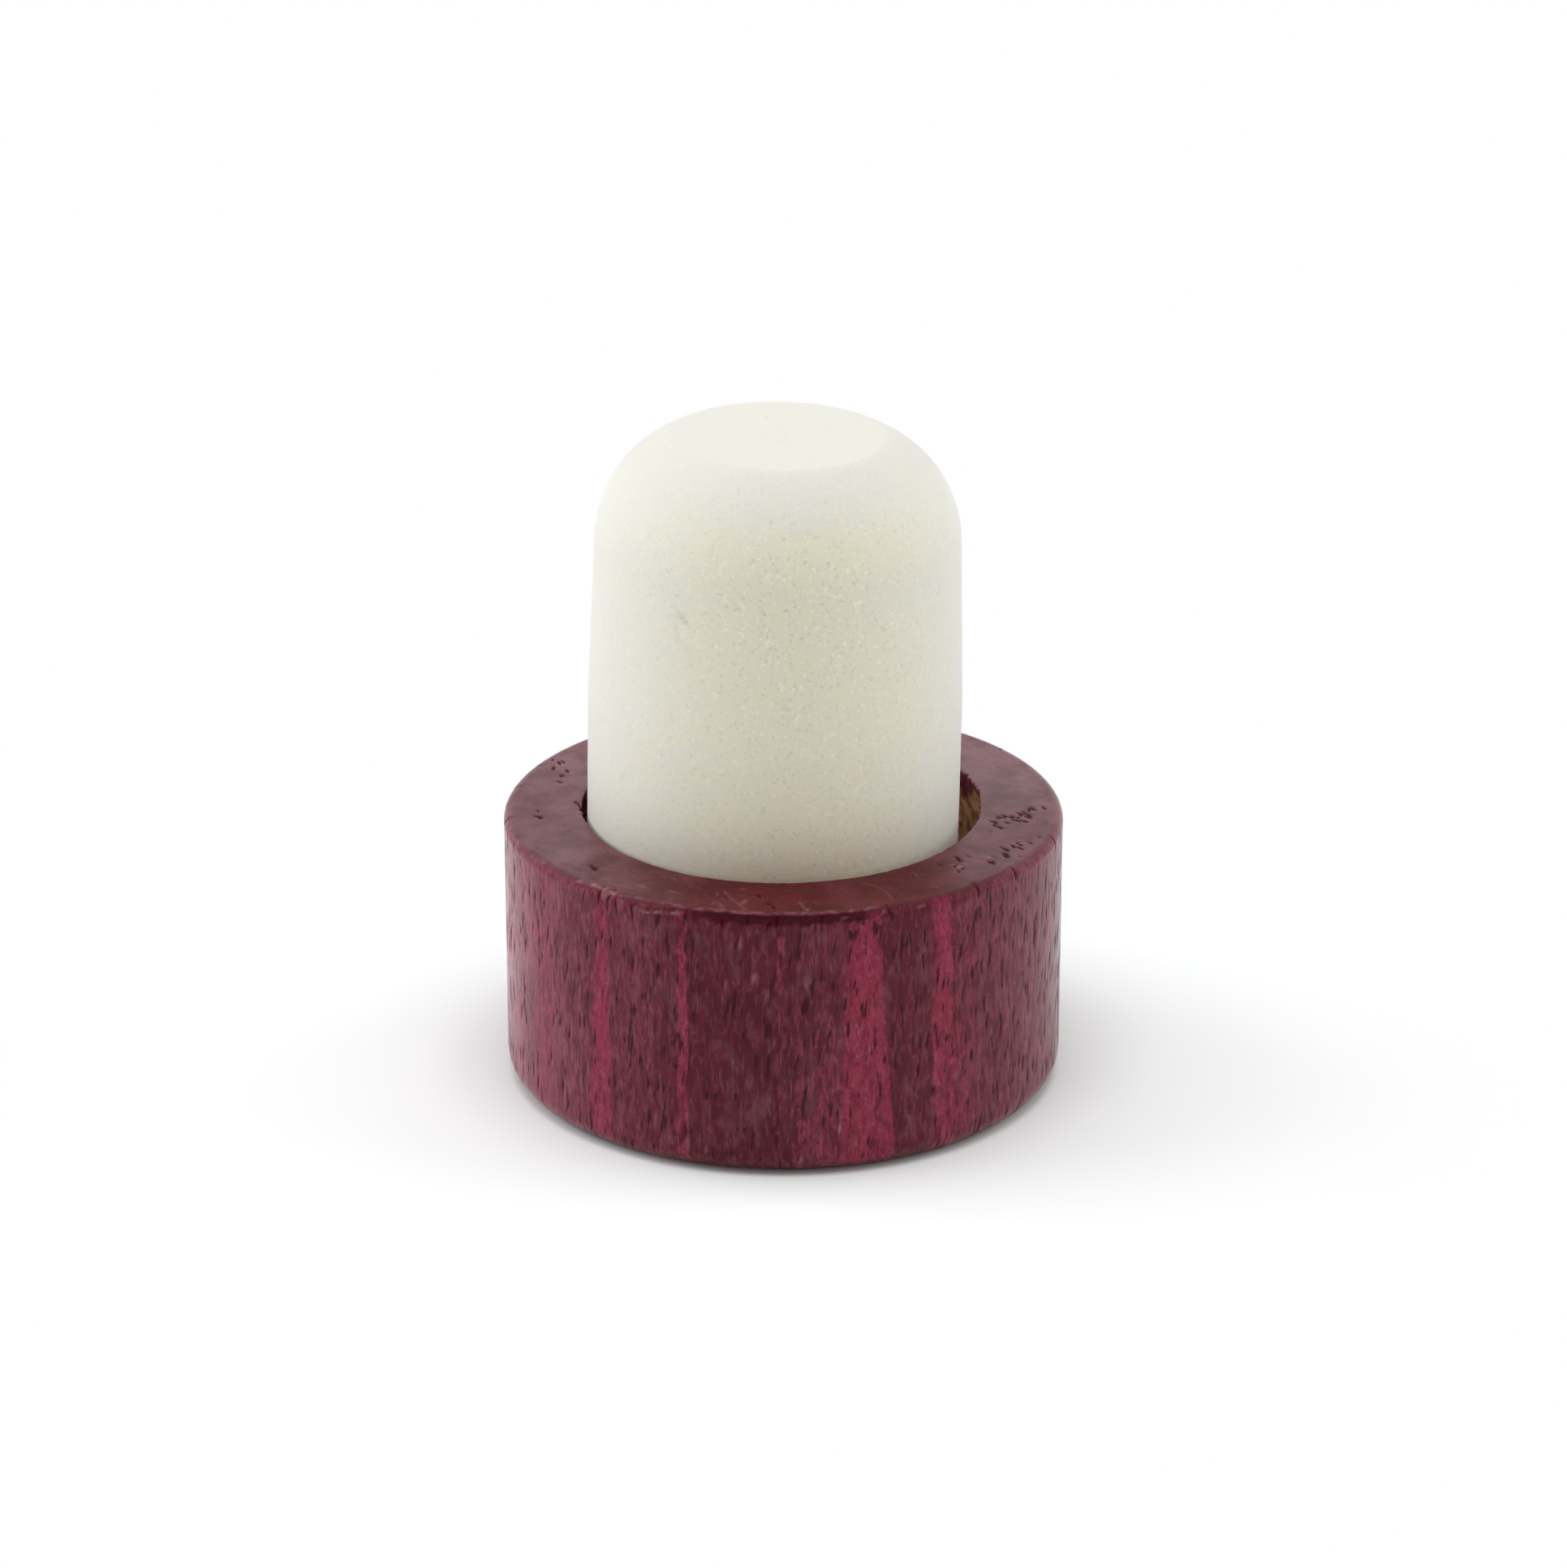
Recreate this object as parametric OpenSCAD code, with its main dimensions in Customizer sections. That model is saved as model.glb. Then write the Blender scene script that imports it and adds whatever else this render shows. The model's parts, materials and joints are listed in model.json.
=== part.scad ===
// Bar-top bottle stopper: a turned wooden head with a moulded foam shank glued into a blind recess.
// It stands on the flat outer face of its head, with the shank pointing up.
// Millimetres. The origin is the centre of that outer face, and +Z runs up the axis of the head.

/* [Head] */
// Diameter of the head
head_d = 29.5; // [25:0.1:38]
// Height of the head, from its outer face to the face that sits on the bottle's lip
head_h = 14.6; // [11:0.1:20]
// Radius of the rounded edge of the outer face
outer_edge_r = 1.3; // [0.2:0.05:3]
// Radius of the rounded edge of the lip face
lip_edge_r = 0.55; // [0.1:0.05:0.8]

/* [Recess] */
// Depth of the blind recess that takes the end of the shank
recess_depth = 7; // [4:0.1:9]
// Room between the shank and the recess's wall, all round, when the shank is centred
glue_gap = 1; // [0.3:0.05:1.2]
// Thickness of the glue under the lowest edge of the shank
glue_bed = 0.1; // [0.05:0.05:0.5]
// How far the recess is drilled off the head's axis, along X
recess_x = -0.2; // [-0.5:0.05:0.5]
// How far the recess is drilled off the head's axis, along Y
recess_y = 0.5; // [-0.5:0.05:0.5]

/* [Shank] */
// Diameter of the shank's straight part
shank_d = 19.6; // [16:0.1:24]
// Length of the shank that stands out of the head
shank_reach = 20.55; // [16:0.05:30]
// Length of the straight part that stands out of the head, below the taper
straight_reach = 6.5; // [1:0.1:8]
// Angle between the tapered part's side and the shank's axis, in degrees
taper_angle = 1.9; // [0.5:0.1:3]
// Radius of the rounding at the tip
tip_round_r = 6; // [4.5:0.1:6.5]
// Diameter of the flat end face
end_face_d = 11.2; // [10.5:0.1:13.5]

/* [Glued position] */
// How far the shank's axis leans from the head's axis, towards +X, in degrees
lean_angle = 1; // [0:0.1:1.5]
// How much of its room in the recess the shank has slid across, where 1 touches the wall
slid_share = 0.7; // [0:0.05:0.95]
// Direction in which the shank has slid, in degrees round from +X towards +Y
slid_direction = 236; // [0:1:359]

/* [Hidden] */
$fn = 128;

wood_colour = "#66202f";
foam_colour = "#e2decb";

head_r = head_d / 2;
shank_r = shank_d / 2;
end_face_r = end_face_d / 2;
recess_r = shank_r + glue_gap;

// How far a shape runs on past the face that opens it or trims it
trim = 1;

// A leaning shank moves sideways between the lip face and the recess's floor, so it has less room to slide
slide_room = glue_gap - recess_depth * tan(lean_angle);
slid = slid_share * slide_room;

// Centre of the shank in the plane of the lip face
shank_x = recess_x + slid * cos(slid_direction);
shank_y = recess_y + slid * sin(slid_direction);

// The glued end stands on one edge when it leans, which lifts its middle off the recess's floor
end_lift = shank_r * sin(lean_angle);
buried = (recess_depth - glue_bed - end_lift) / cos(lean_angle);

// The tip's rounding is a circle that touches the taper's side and meets the rim of the end face.
// Its centre lies on a line parallel to the taper's side and one radius inside it. Points are [radius, height].
taper_along = [-sin(taper_angle), cos(taper_angle)];
taper_across = [cos(taper_angle), sin(taper_angle)];
taper_start = [shank_r, straight_reach];
end_rim = [end_face_r, shank_reach];
line_start = taper_start - tip_round_r * taper_across;
rim_along = (end_rim - line_start) * taper_along;
rim_across = (end_rim - line_start) * taper_across;
taper_length = rim_along - sqrt(tip_round_r ^ 2 - rim_across ^ 2);
taper_end = taper_start + taper_length * taper_along;
tip_centre = line_start + taper_length * taper_along;

// Half section of the head before it is drilled, on the head's axis
module head_section() {
    square([head_r - outer_edge_r, head_h / 2]);
    translate([0, head_h / 2])
        square([head_r - lip_edge_r, head_h / 2]);
    translate([0, outer_edge_r])
        square([head_r, head_h - outer_edge_r - lip_edge_r]);
    translate([head_r - outer_edge_r, outer_edge_r])
        circle(outer_edge_r);
    translate([head_r - lip_edge_r, head_h - lip_edge_r])
        circle(lip_edge_r);
}

// Half section of the shank, on its own axis, with zero height in the plane of the lip face.
// Its straight part, core and rounding run on past the axis and both ends, and one square trims them all.
module shank_section() {
    intersection() {
        translate([0, -buried])
            square([shank_d, buried + shank_reach]);
        union() {
            polygon([
                [-trim, -buried - trim],
                [shank_r, -buried - trim],
                taper_start,
                taper_end,
                tip_centre,
                [-trim, 0]
            ]);
            translate([-trim, 0])
                square([tip_centre.x + trim, tip_centre.y + tip_round_r]);
            translate(tip_centre)
                circle(tip_round_r);
        }
    }
}

// Turned head, dyed and lacquered, with a flat-bottomed blind recess in its lip face
module wood_head() {
    color(wood_colour)
    difference() {
        rotate_extrude()
            head_section();
        translate([recess_x, recess_y, head_h - recess_depth])
            cylinder(r = recess_r, h = recess_depth + trim);
    }
}

// Foam shank: straight, then slightly tapered, with a rounded tip and a flat end face
module cork_shank() {
    color(foam_colour)
    translate([shank_x, shank_y, head_h])
        rotate([0, lean_angle, 0])
            rotate_extrude()
                shank_section();
}

wood_head();
cork_shank();
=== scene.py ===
import json
import math
import random
from collections import namedtuple

import bpy
import numpy as np
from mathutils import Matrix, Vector, noise


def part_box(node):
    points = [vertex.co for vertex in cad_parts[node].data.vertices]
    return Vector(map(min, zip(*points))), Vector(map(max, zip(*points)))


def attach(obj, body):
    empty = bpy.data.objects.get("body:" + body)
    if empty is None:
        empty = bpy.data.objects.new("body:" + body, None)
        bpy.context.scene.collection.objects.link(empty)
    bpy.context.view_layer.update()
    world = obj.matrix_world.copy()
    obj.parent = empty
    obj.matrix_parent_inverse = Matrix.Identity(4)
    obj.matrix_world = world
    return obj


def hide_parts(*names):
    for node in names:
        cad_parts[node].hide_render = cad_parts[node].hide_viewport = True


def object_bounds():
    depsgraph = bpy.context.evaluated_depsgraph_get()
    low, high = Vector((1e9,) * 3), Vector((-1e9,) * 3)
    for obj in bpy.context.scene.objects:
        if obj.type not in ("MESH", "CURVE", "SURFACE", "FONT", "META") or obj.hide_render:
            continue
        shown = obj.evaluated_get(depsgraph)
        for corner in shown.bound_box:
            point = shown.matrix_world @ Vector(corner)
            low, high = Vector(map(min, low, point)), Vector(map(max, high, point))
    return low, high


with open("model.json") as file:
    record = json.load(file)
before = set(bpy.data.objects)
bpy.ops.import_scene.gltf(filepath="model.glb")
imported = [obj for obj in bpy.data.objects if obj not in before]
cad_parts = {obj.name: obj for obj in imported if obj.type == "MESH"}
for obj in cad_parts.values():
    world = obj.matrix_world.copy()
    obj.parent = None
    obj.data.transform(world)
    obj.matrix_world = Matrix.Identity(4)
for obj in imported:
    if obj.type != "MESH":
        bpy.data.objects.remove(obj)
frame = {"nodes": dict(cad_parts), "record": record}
cad_low, cad_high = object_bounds()

MM = 0.001

# ---- sizes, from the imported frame

# Roundings and shank profile of the CAD model
OUTER_EDGE_R = 1.3 * MM
LIP_EDGE_R = 0.55 * MM
STRAIGHT_REACH = 6.5 * MM
TAPER_ANGLE = math.radians(1.9)
TIP_ROUND_R = 6 * MM
END_FACE_R = 5.6 * MM

head_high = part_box("wood_head")[1]
HEAD_R = head_high.x
HEAD_H = head_high.z

shank_mount = next(m for m in frame["record"]["mounts"] if m["name"] == "shank_plug")
SHANK_FOOT = Vector(shank_mount["pos_m"])
SHANK_AXIS = Vector(shank_mount["axis"]).normalized()
SHANK_R = shank_mount["dims"]["r_mm"] * MM
SHANK_REACH = shank_mount["dims"]["length_mm"] * MM
shank_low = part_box("cork_shank")[0]
LEAN_SIN = SHANK_AXIS.x
LEAN_COS = SHANK_AXIS.z
SHANK_BURIED = (HEAD_H - shank_low.z - SHANK_R * LEAN_SIN) / LEAN_COS


def measure_recess():
    """Centre, radius and floor height of the recess, from the CAD head's own vertices."""
    points = np.array([v.co for v in frame["nodes"]["wood_head"].data.vertices])
    inside = np.hypot(points[:, 0], points[:, 1]) < HEAD_R - 2 * MM
    raised = points[:, 2] > 1 * MM
    wall = points[inside & raised]
    low, high = wall.min(axis=0), wall.max(axis=0)
    return (low[:2] + high[:2]) / 2, (high[0] - low[0]) / 2, low[2]


RECESS_CENTRE, RECESS_R, RECESS_FLOOR = measure_recess()

# ---- the wood's grain

# The head's axis runs along the grain. Azimuths run from the -Y side of the head towards +X.
# Strengths and thinnesses run from 0 to about 1. A blotch with one below 0 is darker.

# A pinker stripe on the side, in degrees, and its strengths
BAND_FIELDS = "left_top left_foot right_top right_foot left_soft right_soft"
Band = namedtuple("Band", BAND_FIELDS + " strength_top strength_middle strength_foot")
BANDS = [Band(*row) for row in [
    (-79, -80, -74.5, -75.5, 2, 1.5, 0.3, 0.5, 0.45),
    (-61, -62, -54.2, -54.6, 5, 0.8, 0.42, 0.5, 0.42),
    (-40.2, -42.5, -37.3, -37.3, 1.5, 0.5, 0.4, 0.76, 0.54),
    (-20.9, -21.6, -19.3, -19.2, 0.8, 0.4, 0.5, 0.7, 0.3),
    (-1.2, -1.6, 0.3, -0.2, 0.8, 0.8, 0.4, 0.25, 0.15),
    (2.6, 2.0, 4.4, 4.2, 1.5, 1.5, 0.15, 0.2, 0.3),
    (13.8, 11.0, 19.6, 22.6, 1.5, 0.4, 0.72, 0.76, 0.58),
    (6.0, 3.0, 14.0, 12.0, 4, 3, 0.1, 0.25, 0.36),
    (31.2, 31.8, 35.5, 37.8, 0.6, 1.8, 0.66, 0.72, 0.5),
    (36, 38, 41, 43, 1.5, 2.5, 0.1, 0.34, 0.3),
    (71, 70, 75, 74, 2, 2, 0.3, 0.3, 0.25),
]]

# Made-up stripes round the back, between two azimuths
HIDDEN_BANDS = 15
HIDDEN_FROM = 84.0
HIDDEN_TO = 270

# A stripe with a softer right edge than this, in degrees, has no dark line beside it
SHARP_EDGE = 0.6

# How thin the dye is round the rest of the side: azimuth in degrees, and share. The paler dye from about
# -80 to -50 and from 40 to 70 degrees, where the side turns away, is partly painted sheen
DYE_THINNESS_AND_SHEEN = [
    (-180, 0.14), (-120, 0.2), (-95, 0.34), (-80, 0.8), (-72, 0.85), (-64, 0.66), (-52, 0.46),
    (-42, 0.34), (-30, 0.22), (-16, 0.0), (0, 0.04), (8, 0.2), (20, 0.06), (30, 0.1), (42, 0.3),
    (52, 0.38), (62, 0.36), (72, 0.22), (90, 0.15), (130, 0.22), (180, 0.16),
]
MOST_THINNESS_AND_SHEEN = 1.3

# A paler patch on the side: azimuth and half width in degrees, the others in millimetres
Blotch = namedtuple("Blotch", "azimuth height half_width half_height strength")
BLOTCHES = [Blotch(*row) for row in [
    (-66, 8.6, 4.6, 0.5, 0.45), (-71, 10.5, 2.0, 2.2, 0.2), (-72, 3.8, 3.0, 1.6, 0.25),
    (-60, 12.2, 3.0, 1.2, -0.25), (-66, 9.8, 1.6, 0.8, -0.3), (70, 10.5, 1.6, 2.4, 0.35),
    (63, 6.2, 2.2, 1.2, -0.2), (52, 7.5, 3.0, 1.4, 0.15), (140, 8.0, 6.0, 1.5, 0.3),
]]

# How thin it is round the lip face. The paler dye round the back stands partly for painted reflection
RING_THINNESS_AND_SHEEN = [
    (-180, 0.6), (-120, 0.6), (-80, 0.5), (-60, 0.58), (-35, 0.3), (-15, 0.0), (32, 0.0), (60, 0.45),
    (90, 0.65), (120, 0.9), (150, 0.8), (180, 0.6),
]

# A row of open pores on the lip face, in millimetres
PoreRow = namedtuple("PoreRow", "start end count spread")
PORE_ROWS = [PoreRow(*row) for row in [
    ((10.9, -2.0), (13.6, -0.5), 15, 0.22), ((10.8, -2.7), (13.2, -1.7), 11, 0.3),
    ((10.8, -7.3), (12.6, -5.0), 14, 0.34), ((8.8, -7.1), (9.1, -9.3), 5, 0.25),
    ((-12.4, 7.4), (-11.5, 3.2), 9, 0.4), ((-13.0, -1.2), (-12.8, -1.6), 2, 0.1),
    ((-10.0, -8.0), (-9.6, -8.8), 3, 0.12), ((-10.9, 0.6), (-10.8, 0.0), 3, 0.1),
    ((-1.3, -12.1), (-0.4, -13.7), 3, 0.1), ((1.5, 12.2), (8.6, 9.0), 14, 0.4),
    ((-6.5, 12.4), (-9.5, 8.6), 10, 0.4), ((3.0, 13.6), (8.0, 11.4), 8, 0.3),
]]
LOOSE_PORES = 30
LOOSE_PORE_HALF_WIDTH = 0.1
PORE_DEPTH = 0.05

# How far a pore's length slants from -Y towards +X, and how much that varies, in radians
PORE_SLANT = 0.42
PORE_SLANT_SPREAD = 0.25

# A pale scratch on the lip face, in millimetres. Bow is how far it curves sideways
Scratch = namedtuple("Scratch", "start end bow strength")
SCRATCHES = [Scratch(*row) for row in [
    ((-3.1, -11.2), (-1.7, -14.2), 0.1, 0.3), ((0.8, -12.8), (1.3, -14.1), 0.05, 0.4),
    ((4.0, -10.4), (5.5, -12.6), -0.35, 0.3), ((-9.6, -9.9), (-7.4, -11.3), 0.1, 0.15),
    ((-11.6, -7.2), (-10.2, -8.6), -0.1, 0.15), ((11.2, 6.4), (9.3, 9.9), 0.2, 0.15),
]]
SCRATCH_HALF_WIDTH = 0.055
SCRATCH_DEPTH = 0.02

# Where the drilled rim is torn: middle and half width in degrees, and depth in millimetres
TORN_RIM = [(-84, 9, 0.16), (104, 12, 0.15), (165, 10, 0.1), (-140, 8, 0.1)]

# A tiny pale fleck on the lip face: millimetres, and its direction in degrees
Fleck = namedtuple("Fleck", "place half_length half_width direction strength")
FLECKS = [Fleck(*row) for row in [
    ((9.07, -8.25), 0.12, 0.1, 0, 1.0), ((8.75, -7.95), 0.16, 0.07, 60, 0.45),
    ((9.35, -7.9), 0.2, 0.06, -40, 0.4), ((10.6, -7.0), 0.2, 0.1, 20, 0.35),
    ((-9.66, -10.57), 0.16, 0.09, -45, 0.75), ((-8.7, -11.55), 0.24, 0.08, -40, 0.7),
    ((-2.0, -12.9), 0.35, 0.12, 70, 0.22), ((-7.2, -10.9), 0.5, 0.09, -50, 0.2),
    ((-5.6, -11.6), 0.4, 0.1, -35, 0.2),
]]
LOOSE_FLECKS = 42

# A pale speck on the side: azimuth in degrees, the others in millimetres
Speck = namedtuple("Speck", "azimuth height half_width half_height strength")
SPECKS = [Speck(*row) for row in [
    (3.5, 1.05, 0.06, 0.08, 0.7), (11.2, 2.6, 0.07, 0.07, 0.7), (-11.5, 10.5, 0.07, 0.07, 0.6),
    (-8.6, 12.8, 0.05, 0.08, 0.5), (-19.4, 1.5, 0.06, 0.5, 0.4), (-5.9, 11.2, 0.1, 0.05, 0.45),
    (21.6, 11.0, 0.05, 0.07, 0.4), (-26.6, 2.5, 0.06, 0.3, 0.3), (37.2, 4.3, 0.14, 0.2, 0.3),
]]
LOOSE_SPECKS = 40

# The half width and half height of the smallest speck that the mesh can show
LEAST_SPECK = (0.07, 0.2)

# A broken pale line of torn lacquer: azimuths in degrees, and millimetres below the lip face. The two
# lines right under the lip face's edge, at the front, are a painted highlight along the edge
NickLine = namedtuple("NickLine", "azimuths below half_height strength")
NICK_LINES = [NickLine(*row) for row in [
    ((-31.2, -29.6, -28.2, -26.0, -23.6, -21.6), (0.42, 0.5, 0.56, 0.42, 0.38, 0.28), 0.05, 0.52),
    ((-22.0, -21.0, -20.0, -19.1), (0.26, 0.36, 0.66, 0.98), 0.1, 0.42),
    # These two lines are a painted highlight along the top of the lip edge, at the front
    ((-47.0, -42.0, -37.0, -34.5), (0.07, 0.03, 0.06, 0.08), 0.045, 0.42),
    ((-34.5, -26.0, -18.0, -8.0, 6.0, 20.0), (0.05, 0.02, 0.03, 0.02, 0.03, 0.02), 0.035, 0.24),
    ((-64.0, -58.0), (0.15, 0.1), 0.06, 0.3),
    ((-75.0, -70.5), (0.25, 0.15), 0.06, 0.3),
    ((11.4, 13.2), (0.3, 0.24), 0.05, 0.3),
    ((15.0, 17.0), (0.62, 0.5), 0.05, 0.3),
    ((18.4, 20.6), (0.5, 0.16), 0.07, 0.34),
    ((27.0, 29.5), (0.3, 0.22), 0.05, 0.26),
]]
STRAY_NICKS = 12
STRAY_HALF_HEIGHT = 0.05
NICK_DEPTH = 0.04

# A line stronger than this has a thin line of painted shadow above it
DEEP_NICK = 0.5
SHADOW_LINE_ABOVE = 0.17
SHADOW_LINE_HALF_HEIGHT = 0.06

# The lifted flake at the lip edge: the first three in degrees, the others in millimetres
FLAKE_AZIMUTH = -38.4
FLAKE_HALF_WIDTH = 1.3
FLAKE_GAP = 0.35
FLAKE_TOP = 0.12
FLAKE_LENGTH = 0.5
FLAKE_RISE = 0.03
FLAKE_GAP_DEPTH = 0.05

# Dye that has bled further down the recess's wall, in degrees and millimetres: a streak at the right,
# and all of the wall at the left
STREAK_AZIMUTH = 116
STREAK_DEPTH = 0.85
DYED_WALL_AZIMUTH = -104
DYED_WALL_DEPTH = 5.0
RECESS_THINNESS = 0.4

# ---- small helpers


def millimetres(*values):
    """The numbers as an array in metres."""
    return np.array(values, float) * MM


def ease(low, high, values):
    """0 below low, 1 above high, and an even S curve between them."""
    share = np.clip((values - low) / (high - low), 0, 1)
    return share * share * (3 - 2 * share)


def bell(values):
    """1 at zero, falling smoothly to 0 on both sides."""
    return np.exp(-(values**2))


def noise_at(points, size, shift=0.0):
    """Smooth noise from about -1 to 1, with features of about that size."""
    places = (points / size + shift).reshape(-1, 3).tolist()
    return np.array([noise.noise(p) for p in places]).reshape(points.shape[:-1])


def raised_noise_at(points, size, shift):
    """The same noise, from 0 to 1."""
    return noise_at(points, size, shift) * 0.5 + 0.5


def along_grain(points, share):
    """The points with their heights shrunk, which draws noise out along the grain."""
    return points * np.array([1, 1, share])


def along_and_across(flat, place, way):
    """Each point's offset from a place, along a direction and across it, times the direction's length."""
    offset = flat - place
    return offset @ way, offset[..., 0] * way[1] - offset[..., 1] * way[0]


def turn_apart(first, second):
    """The signed angle from second to first, in degrees, the short way round."""
    return (first - second + 180) % 360 - 180


def arc(centre, radius, first, last, steps):
    """Points [radius, height] along a circle, between two angles in degrees."""
    angles = np.radians(np.linspace(first, last, steps))
    return np.stack([centre[0] + radius * np.cos(angles), centre[1] + radius * np.sin(angles)], axis=1)


def add_object(name, data):
    made = bpy.data.objects.new(name, data)
    bpy.context.scene.collection.objects.link(made)
    return made


def make_object(name, rows, low_pole, high_pole, fields):
    """A closed solid from rows of points that go once round, with its fields as attributes."""
    count, columns = rows.shape[:2]
    here = np.arange(columns)
    after = (here + 1) % columns
    starts = np.arange(count - 1)[:, None] * columns
    quads = np.stack(
        [starts + here, starts + after, starts + columns + after, starts + columns + here], axis=-1
    ).reshape(-1, 4)
    low_index = count * columns
    last_start = (count - 1) * columns
    low_fan = np.stack([np.full(columns, low_index), after, here], axis=-1)
    high_fan = np.stack([last_start + here, last_start + after, np.full(columns, low_index + 1)], axis=-1)
    vertices = np.concatenate([rows.reshape(-1, 3), [low_pole, high_pole]])
    mesh = bpy.data.meshes.new(name)
    mesh.from_pydata(vertices.tolist(), [], quads.tolist() + low_fan.tolist() + high_fan.tolist())
    mesh.shade_smooth()
    for field, values in fields.items():
        ends = [values[0].mean(), values[-1].mean()]
        attribute = mesh.attributes.new(field, "FLOAT", "POINT")
        attribute.data.foreach_set("value", np.concatenate([values.ravel(), ends]).astype(np.float32))
    return add_object(name, mesh)


# ---- the head

HEAD_AXIS = np.zeros(2)
HEAD_COLUMNS = 960
BOTTOM_RADII = millimetres(1.5, 4, 7, 10, 12, 13.1)
BOTTOM_ARC_STEPS = 7
LOW_SIDE_STEPS = 28
FINE_TOP = 1.25 * MM
HIGH_SIDE_STEPS = 8
LIP_ARC_STEPS = 9
RING_STEPS = 30
RIM_BEVEL = 0.12 * MM
RIM_FADE = 1.5 * MM
WALL_HEIGHTS = millimetres(0.3, 0.55, 0.9, 1.3, 1.8, 2.6, 3.8, 5.5)
FLOOR_SHARES = [1.0, 0.7, 0.35]
FIBRE_GROOVES = 2300
GROOVE_DEPTH = 0.03 * MM
UNDER_LIP_GROOVE = 0.14 * MM

# No fibre groove reaches further round than this from its middle, in degrees
GROOVE_REACH = 1

# How far the surface wanders: everywhere, in the side's fibres and lumps, and on the lip face
WAVE_DEPTH = 0.02 * MM
FIBRE_DEPTH = 0.008 * MM
LUMP_DEPTH = 0.014 * MM
STIPPLE_DEPTH = 0.01 * MM

# The drilled rim is wider than the recess at the front and back, and narrower at each side
RIM_WIDENING = 0.05 * MM
RIM_NARROWING_RIGHT = 0.25 * MM
RIM_NARROWING_LEFT = 0.44 * MM


def rim_radius(azimuth):
    """The drilled rim's uneven, torn radius at each azimuth."""
    degrees = np.degrees(azimuth)
    sideways = np.sin(azimuth)
    narrowing = np.where(sideways > 0, RIM_NARROWING_RIGHT, RIM_NARROWING_LEFT) * sideways**2
    ring = np.stack([sideways, np.cos(azimuth), np.zeros_like(azimuth)], axis=-1)
    radius = RECESS_R + RIM_WIDENING - narrowing
    radius += 0.035 * MM * noise_at(ring, 0.18, 3.0) + 0.04 * MM * noise_at(ring, 0.04, 9.0)
    tear = 0.4 + noise_at(ring, 0.035, 13.0) + 0.5 * noise_at(ring, 0.014, 19.0)
    for middle, half_width, depth in TORN_RIM:
        inside = ease(half_width, half_width / 2, np.abs(turn_apart(degrees, middle)))
        radius += depth * MM * np.clip(tear, 0, 1.6) * inside
    return radius


# What the wood's material reads at each point of the head
HEAD_FIELDS = ("band", "thin_dye_and_sheen", "pore", "end_grain", "bare", "dye_and_shade", "wear_and_highlight")


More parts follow.
